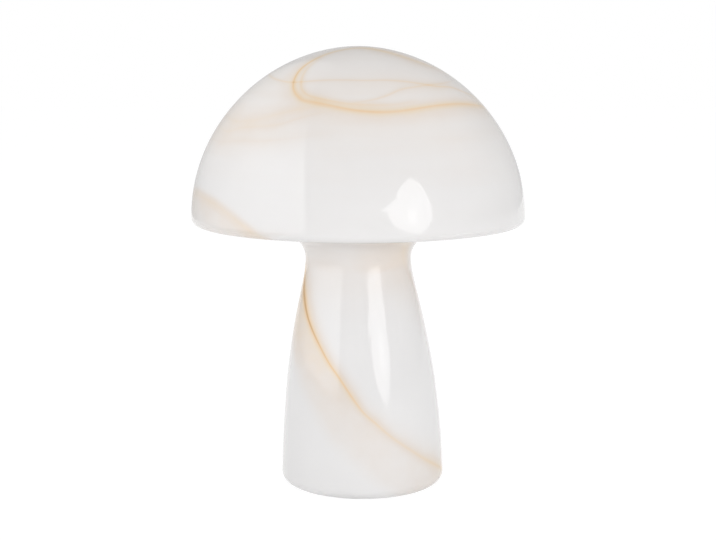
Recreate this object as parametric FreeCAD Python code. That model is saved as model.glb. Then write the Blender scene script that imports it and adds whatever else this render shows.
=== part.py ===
import FreeCAD, Part
import math
import os

# Mushroom table lamp. A hollow shade of blown opal glass, cap and stem in one
# piece, stands on the table and drops over a weighted stand that carries the
# lampholder and the bulb. Sizes are in millimetres. The table is z = 0, the
# lamp's axis is Z, and +Y is its back, where the cord leaves under the glass.

# Glass shade
cap_diameter = 220.0
cap_level = 180.4            # height of the cap's widest circle
rim_rounding = 5.2           # outside radius of the cap's edge
underside_slope = 7.5        # degrees by which the underside falls towards the neck
neck_diameter = 71.5
neck_flare = 16.0            # radius of the sweep from the neck into the underside
foot_diameter = 108.8
foot_rounding = 6.2          # outside radius of the foot's edge
foot_land = 2.0              # width of the flat ground ring that stands on the table
foot_lean = 1.6              # degrees by which the stem leans in as it leaves the foot
foot_fullness = 93.0         # how far up the foot's line pulls the stem's curve
neck_fullness = 19.5         # how far down the neck's line pulls it
glass_wall = 3.5

# Clearances
glass_gap = 0.3              # between the centring ring and the glass foot
seat_gap = 0.05              # between round pieces that sit in one another
thread_gap = 0.25            # around the bulb's screw thread
contact_gap = 0.05           # between the bulb and its spring contacts
slack = 0.4                  # around what only has to pass

# Weighted base
pad_thickness = 1.5
ring_width = 2.2
ring_height = 5.5
ring_lead = 1.2              # bevel that guides the glass over the ring
ring_ledge = 1.0             # how far the ring reaches in under the cover's edge
ledge_thickness = 1.0
cover_wall = 1.2
cover_height = 16.5
cover_rounding = 4.0
nut_pocket_diameter = 21.0
nut_pocket_depth = 8.0

# Cord inlet at the back
cord_diameter = 6.0
cord_room = 0.1              # around the cord in the grommet
cord_level = 6.4             # height of the cord's centre
notch_room = 1.5             # around the cord in the notch of the glass
grommet_wall = 0.9
grommet_lip = 0.9            # how far each flange stands out from the body
grommet_lip_thickness = 1.2

# Stand tube
tube_diameter = 10.0
tube_bore = 7.6
tube_tail = 1.0              # thread that shows under the nut
sleeve_diameter = 14.0
sleeve_wall = 1.5
sleeve_length = 82.0
nut_across_flats = 14.0
nut_thickness = 3.0
washer_diameter = 17.0
washer_thickness = 1.0

# Lampholder
holder_diameter = 26.0
holder_wall = 2.0
boss_diameter = 17.0
boss_height = 7.0
holder_cap_height = 26.0
holder_shell_height = 32.0
shell_rounding = 0.9
stop_screw_diameter = 3.0
stop_screw_recess = 0.4
insert_flange = 2.0          # thickness of the flange held between cap and shell
insert_flange_reach = 1.0
insert_depth = 8.0           # below the joint of cap and shell
insert_height = 6.5          # above that joint
well_depth = 4.0             # of the hollow that the bulb's tip stands in
strip_width = 4.0
strip_thickness = 0.5
strip_spring = 1.0           # room under the centre contact's tongue
strip_inset = 1.0            # of the centre contact's leg from the wall of the well
side_contact_height = 6.0    # above the insert
terminal_screw_diameter = 3.0
terminal_screw_length = 6.0
terminal_head_diameter = 4.8
terminal_head_height = 2.0

# Bulb
bulb_diameter = 45.0
bulb_neck_diameter = 16.0
bulb_neck_length = 3.4       # from the collar to where the neck starts to widen
bulb_neck_flare = 12.0       # radius of the sweep from the neck into the ball
bulb_wall = 0.8
thread_diameter = 13.9
thread_length = 15.0
collar_height = 3.0
collar_cone = 2.0
collar_room = 0.8            # between the bulb's collar and the mouth of the holder
screw_cap_wall = 0.4
tip_diameter = 4.8
tip_height = 1.2
insulator_diameter = 7.2
insulator_height = 2.8
insulator_plug = 1.5
board_thickness = 1.2
board_height = 11.0
choke_depth = 3.0
choke_width = 5.0
choke_height = 6.0
stem_foot = 1.2
stem_taper = 9.0
column_diameter = 3.2
column_tail = 3.0            # of the glass column above the filaments
filament_count = 4
filament_diameter = 1.8
filament_length = 24.0
filament_circle = 14.0       # diameter of the circle on which the filaments stand
wire_diameter = 0.6

# Radii and heights that follow from the sizes above
cap_radius = cap_diameter / 2
neck_radius = neck_diameter / 2
foot_radius = foot_diameter / 2
foot_edge_radius = foot_radius - foot_rounding
foot_opening_radius = foot_edge_radius - foot_land - glass_wall / 2

ring_radius = foot_opening_radius - glass_gap
cover_radius = ring_radius - ring_width
cover_inner_radius = cover_radius - cover_wall
cover_top = pad_thickness + cover_height
weight_top = cover_top - cover_wall
tube_radius = tube_diameter / 2
tube_hole_radius = tube_radius + slack / 2

bore_radius = cord_diameter / 2 + cord_room
grommet_radius = bore_radius + grommet_wall
grommet_lip_radius = grommet_radius + grommet_lip
notch_radius = cord_diameter / 2 + notch_room

washer_top = pad_thickness + nut_pocket_depth
nut_top = washer_top - washer_thickness
tube_low = nut_top - nut_thickness - tube_tail

holder_low = cover_top + sleeve_length
holder_floor = holder_low + boss_height + holder_wall
holder_joint = holder_low + holder_cap_height
holder_top = holder_joint + holder_shell_height
holder_radius = holder_diameter / 2
cavity_radius = holder_radius - holder_wall
boss_radius = boss_diameter / 2
insert_low = holder_joint - insert_depth
insert_top = holder_joint + insert_height
insert_flange_radius = cavity_radius + insert_flange_reach - seat_gap
thread_radius = thread_diameter / 2
well_radius = thread_radius + thread_gap
well_floor = insert_top - well_depth
contact_level = well_floor + strip_spring + strip_thickness

bulb_low = contact_level + contact_gap
insulator_low = bulb_low + tip_height
screw_cap_low = insulator_low + insulator_height
screw_cap_inner_radius = thread_radius - screw_cap_wall
thread_top = screw_cap_low + thread_length
collar_low = thread_top + collar_cone
collar_top = collar_low + collar_height
bulb_radius = bulb_diameter / 2
bulb_neck_radius = bulb_neck_diameter / 2
bulb_flare_x = bulb_neck_radius + bulb_neck_flare
bulb_flare_level = collar_top + bulb_neck_length
bulb_flare_rise = math.sqrt((bulb_radius + bulb_neck_flare) ** 2 - bulb_flare_x**2)
bulb_centre = bulb_flare_level + bulb_flare_rise
collar_inner_radius = bulb_neck_radius + seat_gap
collar_radius = collar_inner_radius + screw_cap_wall
mouth_radius = collar_radius + collar_room

# Inner face of each contact's leg, and the axis of the screw that holds its foot, along X
terminal_head_radius = terminal_head_diameter / 2
centre_leg = strip_inset + strip_thickness - well_radius
centre_screw = centre_leg + terminal_head_radius
side_leg = thread_radius + contact_gap
side_screw = side_leg - terminal_head_radius

up = FreeCAD.Vector(0, 0, 1)


def at(x, z):
    return FreeCAD.Vector(x, 0, z)


def start_of(curve):
    return curve.firstVertex(True).Point


def end_of(curve):
    return curve.lastVertex(True).Point


def arc(centre, radius, start_angle, end_angle):
    # in the XZ plane, with angles in degrees from +X towards +Z
    points = []
    for share in (0.0, 0.5, 1.0):
        angle = math.radians(start_angle + share * (end_angle - start_angle))
        points.append(centre + at(radius * math.cos(angle), radius * math.sin(angle)))
    return Part.Arc(*points).toShape()


def bezier(*poles):
    curve = Part.BezierCurve()
    curve.setPoles(list(poles))
    return curve.toShape()


def backwards(curves):
    return [curve.reversed() for curve in reversed(curves)]


def outline(pieces):
    # closed face from corners (x, z) and curves, in order, with straight lines between them
    stops = []
    for piece in pieces:
        if isinstance(piece, tuple):
            stops.append((at(*piece), at(*piece), None))
        else:
            stops.append((start_of(piece), end_of(piece), piece))
    edges = []
    for (_, end, curve), (following, _, _) in zip(stops, stops[1:] + stops[:1]):
        if curve:
            edges.append(curve)
        if end.distanceToPoint(following) > 1e-6:
            edges.append(Part.LineSegment(end, following).toShape())
    return Part.Face(Part.Wire(edges))


def turned(*pieces):
    solid = outline(pieces).revolve(FreeCAD.Vector(), up, 360)
    if solid.Volume < 0:
        solid.reverse()
    return solid


def sheet_strip(*corners):
    # bent metal strip, from its side view
    face = outline(corners).translated(FreeCAD.Vector(0, -strip_width / 2, 0))
    return face.extrude(FreeCAD.Vector(0, strip_width, 0))


def rod(radius, low, high, x=0.0, y=0.0):
    return Part.makeCylinder(radius, high - low, FreeCAD.Vector(x, y, low))


def rod_along_x(radius, level, start, end, y=0.0):
    return Part.makeCylinder(radius, end - start, FreeCAD.Vector(start, y, level), FreeCAD.Vector(1, 0, 0))


def rod_along_y(radius, level, start, end):
    return Part.makeCylinder(radius, end - start, FreeCAD.Vector(0, start, level), FreeCAD.Vector(0, 1, 0))


def tube(outer_radius, inner_radius, low, high):
    return rod(outer_radius, low, high).cut(rod(inner_radius, low, high))


def block(x_span, y_span, z_span):
    spans = (x_span, y_span, z_span)
    corner = FreeCAD.Vector(*[low for low, high in spans])
    return Part.makeBox(*[high - low for low, high in spans], corner)


def glass_side(inset):
    # One face of the blown wall, from the foot to the crown. Each arc keeps its centre and gives
    # or takes the inset, so the wall has the same thickness all the way up.
    slope = math.radians(underside_slope)
    lean = math.radians(foot_lean)
    rim_centre = at(cap_radius - rim_rounding, cap_level)
    flare_x = neck_radius + neck_flare
    underside_fall = (rim_centre.x - flare_x) * math.tan(slope)
    flare_centre = at(flare_x, cap_level - underside_fall - (rim_rounding + neck_flare) / math.cos(slope))
    foot = arc(at(foot_edge_radius, foot_rounding), foot_rounding - inset, -90, foot_lean)
    flare = arc(flare_centre, neck_flare + inset, 180, 90 + underside_slope)
    rim = arc(rim_centre, rim_rounding - inset, underside_slope - 90, 0)
    dome = arc(at(0, cap_level), cap_radius - inset, 0, 90)
    foot_pull = at(-math.sin(lean), math.cos(lean)) * foot_fullness
    neck_pull = at(0, -neck_fullness)
    stem = bezier(end_of(foot), end_of(foot) + foot_pull, start_of(flare) + neck_pull, start_of(flare))
    underside = Part.LineSegment(end_of(flare), start_of(rim)).toShape()
    return [foot, stem, flare, underside, rim, dome]


def make_glass_body():
    lip_radius = glass_wall / 2
    lip = arc(at(foot_edge_radius - foot_land, lip_radius), lip_radius, -270, -90)
    body = turned(*glass_side(0), *backwards(glass_side(glass_wall)), lip)
    notch_span = (foot_opening_radius - glass_wall, foot_radius + glass_wall)
    notch_top = rod_along_y(notch_radius, cord_level, *notch_span)
    notch_sides = block((-notch_radius, notch_radius), notch_span, (-glass_wall, cord_level))
    return body.cut(notch_top.fuse(notch_sides))


def make_base_pad():
    return rod(cover_radius - ring_ledge - slack, 0, pad_thickness)


def make_base_cover():
    shoulder = at(cover_radius - cover_rounding, cover_top - cover_rounding)
    cover = turned(
        (cover_inner_radius, pad_thickness),
        (cover_radius, pad_thickness),
        arc(shoulder, cover_rounding, 0, 90),
        (tube_hole_radius, cover_top),
        (tube_hole_radius, weight_top),
        arc(shoulder, cover_rounding - cover_wall, 90, 0),
    )
    return cover.cut(rod_along_y(grommet_radius + seat_gap, cord_level, 0, foot_radius))


def make_centring_ring():
    low = pad_thickness - ledge_thickness
    top = low + ring_height
    band_radius = cover_radius + seat_gap
    ring = turned(
        (cover_radius - ring_ledge, low),
        (ring_radius, low),
        (ring_radius, top - ring_lead),
        (ring_radius - ring_lead, top),
        (band_radius, top),
        (band_radius, pad_thickness),
        (cover_radius - ring_ledge, pad_thickness),
    )
    half_gap = grommet_lip_radius + slack
    return ring.cut(block((-half_gap, half_gap), (0, foot_radius), (0, cover_top)))


def make_base_weight():
    weight_radius = cover_inner_radius - slack
    half_channel = grommet_lip_radius + slack
    weight = turned(
        (tube_hole_radius, pad_thickness),
        (weight_radius, pad_thickness),
        (weight_radius, weight_top - cover_rounding),
        (weight_radius - cover_rounding, weight_top),
        (tube_hole_radius, weight_top),
    )
    pocket = rod(nut_pocket_diameter / 2, 0, washer_top)
    channel = block(
        (-half_channel, half_channel),
        (washer_diameter / 2 + slack, foot_radius),
        (0, cord_level + half_channel),
    )
    return weight.cut(pocket).cut(channel)


def make_cord_grommet():
    # its flat flanges clip round the cover's curved wall
    flange_seat = math.sqrt(cover_inner_radius**2 - grommet_lip_radius**2) - seat_gap
    inner_end = flange_seat - grommet_lip_thickness
    outer_seat = cover_radius + seat_gap
    outer_end = outer_seat + grommet_lip_thickness
    body = rod_along_y(grommet_radius, cord_level, inner_end, outer_end)
    flanges = [
        rod_along_y(grommet_lip_radius, cord_level, inner_end, flange_seat),
        rod_along_y(grommet_lip_radius, cord_level, outer_seat, outer_end),
    ]
    return body.fuse(flanges).cut(rod_along_y(bore_radius, cord_level, inner_end, outer_end))


def make_threaded_tube():
    return tube(tube_radius, tube_bore / 2, tube_low, holder_floor)


def make_tube_nut():
    corner = nut_across_flats / 2 / math.cos(math.radians(30))
    corners = []
    for side in range(7):
        angle = math.radians(60 * side)
        corners.append(FreeCAD.Vector(corner * math.cos(angle), corner * math.sin(angle), nut_top))
    hexagon = Part.Face(Part.makePolygon(corners)).extrude(up * -nut_thickness)
    return hexagon.cut(rod(tube_radius + seat_gap, tube_low, washer_top))


def make_lock_washer():
    return tube(washer_diameter / 2, tube_radius + seat_gap, nut_top, washer_top)


def make_sleeve_tube():
    return tube(sleeve_diameter / 2, sleeve_diameter / 2 - sleeve_wall, cover_top, holder_low)


def make_holder_cap():
    bowl = holder_radius - boss_radius
    bowl_centre = at(boss_radius, holder_low + boss_height + bowl)
    grip_radius = tube_radius + seat_gap
    recess_radius = insert_flange_radius + seat_gap
    ledge_level = holder_joint - insert_flange
    cap = turned(
        (grip_radius, holder_low),
        (boss_radius, holder_low),
        arc(bowl_centre, bowl, -90, 0),
        (holder_radius, holder_joint),
        (recess_radius, holder_joint),
        (recess_radius, ledge_level),
        (cavity_radius, ledge_level),
        arc(bowl_centre, bowl - holder_wall, 0, -90),
        (grip_radius, holder_floor),
    )
    hole_radius = stop_screw_diameter / 2 + seat_gap
    return cap.cut(rod_along_x(hole_radius, holder_low + boss_height / 2, 0, holder_radius))


def make_stop_screw():
    tip = tube_radius + seat_gap
    head = boss_radius - stop_screw_recess
    return rod_along_x(stop_screw_diameter / 2, holder_low + boss_height / 2, tip, head)


def make_holder_insert():
    body_radius = cavity_radius - slack / 2
    insert = turned(
        (0, insert_low),
        (body_radius, insert_low),
        (body_radius, holder_joint - insert_flange),
        (insert_flange_radius, holder_joint - insert_flange),
        (insert_flange_radius, holder_joint),
        (body_radius, holder_joint),
        (body_radius, insert_top),
        (well_radius, insert_top),
        (well_radius, well_floor),
        (0, well_floor),
    )
    half_slot = (strip_width + slack) / 2
    slot_room = slack / 4
    for low, high in ((centre_leg - strip_thickness, centre_leg), (side_leg, side_leg + strip_thickness)):
        slot_span = (low - slot_room, high + slot_room)
        insert = insert.cut(block(slot_span, (-half_slot, half_slot), (insert_low, insert_top)))
    for x in (centre_screw, side_screw):
        hole_radius = terminal_screw_diameter / 2 + seat_gap
        insert = insert.cut(rod(hole_radius, insert_low, insert_low + terminal_screw_length + slack, x))
    return insert


def make_centre_contact():
    foot_end = centre_screw + terminal_head_radius
    contact = sheet_strip(
        (foot_end, insert_low),
        (centre_leg, insert_low),
        (centre_leg, contact_level - strip_thickness),
        (tip_diameter / 2, contact_level - strip_thickness),
        (tip_diameter / 2, contact_level),
        (centre_leg - strip_thickness, contact_level),
        (centre_leg - strip_thickness, insert_low - strip_thickness),
        (foot_end, insert_low - strip_thickness),
    )
    return contact.cut(make_screw_hole(centre_screw))


def make_side_contact():
    foot_end = side_screw - terminal_head_radius
    top = insert_top + side_contact_height
    contact = sheet_strip(
        (foot_end, insert_low),
        (side_leg, insert_low),
        (side_leg, top),
        (side_leg + strip_thickness, top),
        (side_leg + strip_thickness, insert_low - strip_thickness),
        (foot_end, insert_low - strip_thickness),
    )
    return contact.cut(make_screw_hole(side_screw))


def make_screw_hole(x):
    return rod(terminal_screw_diameter / 2 + seat_gap, insert_low - strip_thickness, insert_low, x)


def make_terminal_screws():
    screws = []
    for x in (centre_screw, side_screw):
        head_top = insert_low - strip_thickness
        head = rod(terminal_head_radius, head_top - terminal_head_height, head_top, x)
        shank = rod(terminal_screw_diameter / 2, head_top, insert_low + terminal_screw_length, x)
        screws.append(head.fuse(shank))
    return Part.makeCompound(screws)


def make_holder_shell():
    top_radius = mouth_radius + holder_wall
    edge_centre = at(top_radius - shell_rounding, holder_top - shell_rounding)
    ceiling = insert_top + slack
    shell = turned(
        (cavity_radius, holder_joint),
        (holder_radius, holder_joint),
        (holder_radius, ceiling + holder_wall),
        arc(edge_centre, shell_rounding, 0, 90),
        (mouth_radius, holder_top),
        (mouth_radius, thread_top),
        (well_radius, thread_top - collar_cone),
        (well_radius, ceiling),
        (cavity_radius, ceiling),
    )
    half_slot = (strip_width + slack) / 2
    slot_top = insert_top + side_contact_height + slack
    slot_end = side_leg + strip_thickness + slack
    return shell.cut(block((0, slot_end), (-half_slot, half_slot), (holder_joint, slot_top)))


def make_bulb_contact():
    edge = arc(at(tip_diameter / 2 - tip_height, insulator_low), tip_height, -90, 0)
    return turned((0, bulb_low), edge, (0, insulator_low))


def make_bulb_insulator():
    plug_radius = screw_cap_inner_radius - seat_gap
    return turned(
        (0, insulator_low),
        (insulator_diameter / 2, insulator_low),
        (plug_radius, screw_cap_low),
        (plug_radius, screw_cap_low + insulator_plug),
        (0, screw_cap_low + insulator_plug),
    )


def make_bulb_cap():
    return turned(
        (screw_cap_inner_radius, screw_cap_low),
        (thread_radius, screw_cap_low),
        (thread_radius, thread_top),
        (collar_radius, collar_low),
        (collar_radius, collar_top),
        (collar_inner_radius, collar_top),
        (collar_inner_radius, collar_low),
        (screw_cap_inner_radius, thread_top),
    )


def bulb_side(inset):
    # the neck sweeps into the ball along an arc that touches both
    meeting_angle = -math.degrees(math.atan2(bulb_flare_rise, bulb_flare_x))
    flare_centre = at(bulb_flare_x, bulb_flare_level)
    flare = arc(flare_centre, bulb_neck_flare + inset, 180, 180 + meeting_angle)
    ball = arc(at(0, bulb_centre), bulb_radius - inset, meeting_angle, 90)
    return [flare, ball]


def make_bulb_envelope():
    low = collar_low + slack
    return turned(
        (bulb_neck_radius, low),
        *bulb_side(0),
        *backwards(bulb_side(bulb_wall)),
        (bulb_neck_radius - bulb_wall, low),
    )


def make_led_stem():
    low = collar_low + slack
    foot = bulb_neck_radius - bulb_wall - seat_gap
    column = column_diameter / 2
    top = bulb_centre + filament_length / 2 + column_tail
    return turned(
        (0, low),
        (foot, low),
        (foot, low + stem_foot),
        (column, low + stem_foot + stem_taper),
        arc(at(0, top - column), column, 0, 90),
    )


def filament_places():
    for index in range(filament_count):
        yield 360 * (index + 0.5) / filament_count


def make_led_filaments():
    low = bulb_centre - filament_length / 2
    stick = rod(filament_diameter / 2, low, low + filament_length, filament_circle / 2)
    return Part.makeCompound([stick.rotated(FreeCAD.Vector(), up, angle) for angle in filament_places()])


def make_filament_wires():
    start = column_diameter / 2 + seat_gap
    end = (filament_circle - filament_diameter) / 2 - seat_gap
    reach = filament_length / 2 - wire_diameter
    wires = []
    for level in (bulb_centre - reach, bulb_centre + reach):
        wire = rod_along_x(wire_diameter / 2, level, start, end)
        wires += [wire.rotated(FreeCAD.Vector(), up, angle) for angle in filament_places()]
    return Part.makeCompound(wires)


def make_bulb_driver():
    half_width = screw_cap_inner_radius - slack
    half_board = board_thickness / 2
    low = screw_cap_low + insulator_plug + slack
    board = block((-half_board, half_board), (-half_width, half_width), (low, low + board_height))
    choke_low = low + (board_height - choke_height) / 2
    choke = block(
        (half_board, half_board + choke_depth),
        (-choke_width / 2, choke_width / 2),
        (choke_low, choke_low + choke_height),
    )
    return board.fuse(choke)


makers = {
    "glass_body": make_glass_body,
    "base_pad": make_base_pad,
    "base_cover": make_base_cover,
    "centring_ring": make_centring_ring,
    "base_weight": make_base_weight,
    "cord_grommet": make_cord_grommet,
    "threaded_tube": make_threaded_tube,
    "tube_nut": make_tube_nut,
    "lock_washer": make_lock_washer,
    "sleeve_tube": make_sleeve_tube,
    "holder_cap": make_holder_cap,
    "stop_screw": make_stop_screw,
    "holder_insert": make_holder_insert,
    "centre_contact": make_centre_contact,
    "side_contact": make_side_contact,
    "terminal_screws": make_terminal_screws,
    "holder_shell": make_holder_shell,
    "bulb_contact": make_bulb_contact,
    "bulb_insulator": make_bulb_insulator,
    "bulb_cap": make_bulb_cap,
    "bulb_envelope": make_bulb_envelope,
    "led_stem": make_led_stem,
    "led_filaments": make_led_filaments,
    "filament_wires": make_filament_wires,
    "bulb_driver": make_bulb_driver,
}

os.makedirs("parts", exist_ok=True)
for name, make in makers.items():
    shape = make()
    shape.exportStep(f"parts/{name}.step")
    print(f"{name}: {len(shape.Solids)} solid, {shape.Volume / 1000:.2f} cm3, valid {shape.isValid()}")
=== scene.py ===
import bmesh
import bpy
import math
import numpy as np
from mathutils import Matrix, Vector


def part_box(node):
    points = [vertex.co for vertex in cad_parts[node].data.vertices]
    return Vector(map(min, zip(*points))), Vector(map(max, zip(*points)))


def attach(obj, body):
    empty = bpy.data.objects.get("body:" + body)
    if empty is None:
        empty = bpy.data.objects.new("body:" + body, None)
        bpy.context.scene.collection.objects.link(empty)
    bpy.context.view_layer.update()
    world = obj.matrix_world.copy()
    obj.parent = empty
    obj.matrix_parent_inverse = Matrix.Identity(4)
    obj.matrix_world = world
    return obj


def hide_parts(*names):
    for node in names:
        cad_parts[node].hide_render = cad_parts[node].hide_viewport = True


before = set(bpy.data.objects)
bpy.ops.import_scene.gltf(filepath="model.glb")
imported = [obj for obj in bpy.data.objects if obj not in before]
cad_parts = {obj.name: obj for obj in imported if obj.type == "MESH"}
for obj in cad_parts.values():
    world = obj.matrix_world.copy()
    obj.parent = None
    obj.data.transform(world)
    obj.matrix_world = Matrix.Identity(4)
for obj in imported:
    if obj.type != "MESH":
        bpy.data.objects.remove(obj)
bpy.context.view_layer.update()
scene = bpy.context.scene
mm = 0.001
noiseLow, noiseHigh = 0.3, 0.7      # most values of a noise texture lie between these
print("frame loaded:", len(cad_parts), "nodes")


def linearColour(code):
    # sRGB hex to the linear values that the shaders expect
    channels = [int(code[i:i + 2], 16) / 255 for i in (1, 3, 5)]
    return [c / 12.92 if c <= 0.04045 else ((c + 0.055) / 1.055) ** 2.4 for c in channels] + [1.0]


def feed(tree, node, inputs):
    # inputs go by name or in order; each is a value, a socket or a node, whose first output feeds it
    for key, value in inputs.items() if isinstance(inputs, dict) else enumerate(inputs):
        if isinstance(value, bpy.types.Node):
            value = value.outputs[0]
        if isinstance(value, bpy.types.NodeSocket):
            tree.links.new(value, node.inputs[key])
        else:
            node.inputs[key].default_value = value


def addNode(tree, kind, inputs=(), stops=(), **settings):
    # stops are a ramp's (place, colour or grey); a Map Range takes value, from low, from high, to low
    # and to high, and Math is short for ShaderNodeMath
    node = tree.nodes.new(kind if "Node" in kind else "ShaderNode" + kind)
    for key, value in settings.items():
        setattr(node, key, value)
    feed(tree, node, inputs)
    for index, (place, shade) in enumerate(stops):
        elements = node.color_ramp.elements
        element = elements[index] if index < 2 else elements.new(place)
        element.position = place
        element.color = shade if isinstance(shade, list) else [shade, shade, shade, 1.0]
    return node


def startMaterial(name):
    material = bpy.data.materials.new(name)
    material.use_nodes = True
    tree = material.node_tree
    return material, tree, tree.nodes["Principled BSDF"]


def emptyTree(holder):
    # the bare node tree of a world or of a material that is only light or paper
    holder.use_nodes = True
    holder.node_tree.nodes.clear()
    return holder.node_tree


def startGroup(name, kind, inputs, output):
    # inputs are kinds of socket, each with the names of its sockets
    tree = bpy.data.node_groups.new(name, kind)
    for socketKind, socketNames in inputs.items():
        for socketName in socketNames.split():
            tree.interface.new_socket(socketName, in_out="INPUT", socket_type=f"NodeSocket{socketKind}")
    tree.interface.new_socket("result", in_out="OUTPUT", socket_type=f"NodeSocket{output}")
    return tree, tree.nodes.new("NodeGroupInput").outputs


def plainMesh(name, vertices, faces=(), edges=()):
    mesh = bpy.data.meshes.new(name)
    mesh.from_pydata([tuple(v) for v in vertices], list(edges), [tuple(f) for f in faces])
    mesh.update()
    piece = bpy.data.objects.new(name, mesh)
    scene.collection.objects.link(piece)
    return piece


def arcPoints(centre, radius, startAngle, endAngle, spacing):
    # (distance from the axis, height) along an arc, angles in degrees from outwards to up
    length = abs(math.radians(endAngle - startAngle)) * radius
    steps = max(3, math.ceil(length / spacing))
    angles = [math.radians(startAngle + (endAngle - startAngle) * i / steps) for i in range(steps + 1)]
    return [(centre[0] + radius * math.cos(a), centre[1] + radius * math.sin(a)) for a in angles]


def linePoints(corners, spacing):
    points = [corners[0]]
    for start, end in zip(corners, corners[1:]):
        steps = max(1, math.ceil(math.dist(start, end) / spacing))
        points += [(start[0] + (end[0] - start[0]) * i / steps, start[1] + (end[1] - start[1]) * i / steps)
                   for i in range(1, steps + 1)]
    return points


def bezierPoints(a, b, c, d, spacing):
    steps = math.ceil((math.dist(a, b) + math.dist(b, c) + math.dist(c, d)) / spacing)
    points = []
    for i in range(steps + 1):
        t = i / steps
        shares = ((1 - t) ** 3, 3 * t * (1 - t) ** 2, 3 * t * t * (1 - t), t ** 3)
        points.append(tuple(sum(s * p[k] for s, p in zip(shares, (a, b, c, d))) for k in (0, 1)))
    return points


def joinedProfile(*stretches, closest=1e-4):
    points = []
    for stretch in stretches:
        for point in stretch:
            if not points or math.dist(points[-1], point) > closest:
                points.append(point)
    return points


turning = {
    "threadFade": 0.35,     # share of a pitch over which a thread runs out
    "weld": 0.002,          # millimetres
    "waveDetail": 1.0,
    "waveRoughness": 0.4,
}


def turningTree():
    # turns a profile round the lamp's axis into a closed, slightly uneven wall
    tree, given = startGroup("turnProfile", "GeometryNodeTree", {
        "Object": "profile cutter", "Int": "points steps", "Material": "material",
        "Float": "lean leanLow leanHigh wave waveSize threadDepth threadPitch threadLow threadHigh"},
        "Geometry")

    # a flat grid, one column for each point of the profile
    rows = addNode(tree, "Math", [given["steps"], 1.0], operation="ADD")
    grid = addNode(tree, "GeometryNodeMeshGrid", {
        "Size X": 1.0, "Size Y": 1.0, "Vertices X": given["points"], "Vertices Y": rows})
    flat = addNode(tree, "GeometryNodeInputPosition")
    where = addNode(tree, "SeparateXYZ", [flat])
    last = addNode(tree, "Math", [given["points"], 1.0], operation="SUBTRACT")
    share = addNode(tree, "Math", [where.outputs["X"], 0.5], operation="ADD")
    column = addNode(tree, "Math", [share, last], operation="MULTIPLY")
    index = addNode(tree, "FunctionNodeFloatToInt", [column], rounding_mode="ROUND")
    outline = addNode(tree, "GeometryNodeObjectInfo", {"Object": given["profile"]})
    spot = addNode(tree, "GeometryNodeSampleIndex", {
        "Geometry": outline.outputs["Geometry"], "Value": flat, "Index": index}, data_type="FLOAT_VECTOR")
    profile = addNode(tree, "SeparateXYZ", [spot])
    half = addNode(tree, "Math", [where.outputs["Y"], 0.5], operation="ADD")
    turn = addNode(tree, "Math", [half, math.tau], operation="MULTIPLY")

    # a rolled thread: the wall goes in and out along a helix, and fades out at both ends
    height = profile.outputs["Z"]
    level = addNode(tree, "Math", [height, given["threadPitch"]], operation="DIVIDE")
    climb = addNode(tree, "Math", [level, math.tau], operation="MULTIPLY")
    phase = addNode(tree, "Math", [climb, turn], operation="SUBTRACT")
    swing = addNode(tree, "Math", [phase], operation="COSINE")
    groove = addNode(tree, "MapRange", [swing, -1.0, 1.0, 0.0, 1.0])
    fadeLength = addNode(tree, "Math", [given["threadPitch"], turning["threadFade"]],
                         operation="MULTIPLY")
    lowEnd = addNode(tree, "Math", [given["threadLow"], fadeLength], operation="ADD")
    highEnd = addNode(tree, "Math", [given["threadHigh"], fadeLength], operation="SUBTRACT")
    rise = addNode(tree, "MapRange", [height, given["threadLow"], lowEnd],
                   interpolation_type="SMOOTHSTEP")
    fall = addNode(tree, "MapRange", [height, given["threadHigh"], highEnd],
                   interpolation_type="SMOOTHSTEP")
    for factor in (rise, fall, given["threadDepth"]):
        groove = addNode(tree, "Math", [groove, factor], operation="MULTIPLY")
    radius = addNode(tree, "Math", [profile.outputs["X"], groove], operation="SUBTRACT")

    # round the axis, starting at the back, with the lean of a piece blown and set by hand
    sine = addNode(tree, "Math", [turn], operation="SINE")
    cosine = addNode(tree, "Math", [turn], operation="COSINE")
    side = addNode(tree, "Math", [radius, sine], operation="MULTIPLY")
    back = addNode(tree, "Math", [radius, cosine], operation="MULTIPLY")
    tilt = addNode(tree, "MapRange", [height, given["leanLow"], given["leanHigh"], 0.0, given["lean"]],
                   interpolation_type="SMOOTHSTEP")
    shifted = addNode(tree, "Math", [side, tilt], operation="ADD")
    place = addNode(tree, "CombineXYZ", [shifted, back, height])
    bent = addNode(tree, "GeometryNodeSetPosition", {"Geometry": grid, "Position": place})
    closed = addNode(tree, "GeometryNodeMergeByDistance", {
        "Geometry": bent, "Distance": turning["weld"] * mm})

    # slow unevenness, then the cutter's shape is taken out
    noise = addNode(tree, "TexNoise", {
        "Scale": given["waveSize"], "Detail": turning["waveDetail"],
        "Roughness": turning["waveRoughness"]}, noise_dimensions="3D")
    uneven = addNode(tree, "Math", [noise, 0.5], operation="SUBTRACT")
    amount = addNode(tree, "Math", [uneven, given["wave"]], operation="MULTIPLY")
    normal = addNode(tree, "GeometryNodeInputNormal")
    push = addNode(tree, "VectorMath", {0: normal, "Scale": amount}, operation="SCALE")
    waved = addNode(tree, "GeometryNodeSetPosition", {"Geometry": closed, "Offset": push})
    tool = addNode(tree, "GeometryNodeObjectInfo", {"Object": given["cutter"]})
    carved = addNode(tree, "GeometryNodeMeshBoolean", {
        "Mesh 1": waved, "Mesh 2": tool.outputs["Geometry"]}, operation="DIFFERENCE", solver="EXACT")
    realized = addNode(tree, "GeometryNodeRealizeInstances", [carved])
    finished = addNode(tree, "GeometryNodeSetMaterial", {0: realized, "Material": given["material"]})
    addNode(tree, "NodeGroupOutput", [finished])
    return tree


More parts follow.
